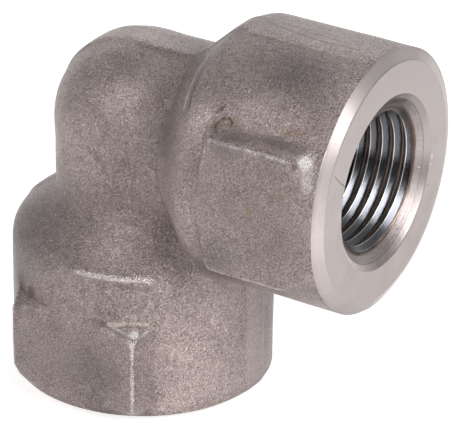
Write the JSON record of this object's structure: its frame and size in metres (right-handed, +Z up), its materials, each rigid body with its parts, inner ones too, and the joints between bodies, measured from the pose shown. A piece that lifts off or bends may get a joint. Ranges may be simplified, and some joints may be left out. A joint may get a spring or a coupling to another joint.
{
  "type": "high pressure female elbow",
  "caption": "One-piece forged steel 90 degree pipe elbow with an internally threaded port at each end and wrench flats on its hubs.",
  "frame": {"origin": "bottom centre of the fitting's box, on the plane of the lower port's machined face, which the fitting stands on", "axes": "+Z up along the lower port's axis, away from its mouth; +X along the side port's axis, out of its mouth; +Y across the two, from one pair of wrench flats to the other"},
  "size_m": [0.057, 0.0372, 0.0571],
  "materials": {
    "forged_steel": "brownish grey drop-forged skin with a fine grain, and bright turned end faces, bevels and threads"
  },
  "bodies": {
    "root": {"elbow": "forged_steel"}
  },
  "joints": []
}
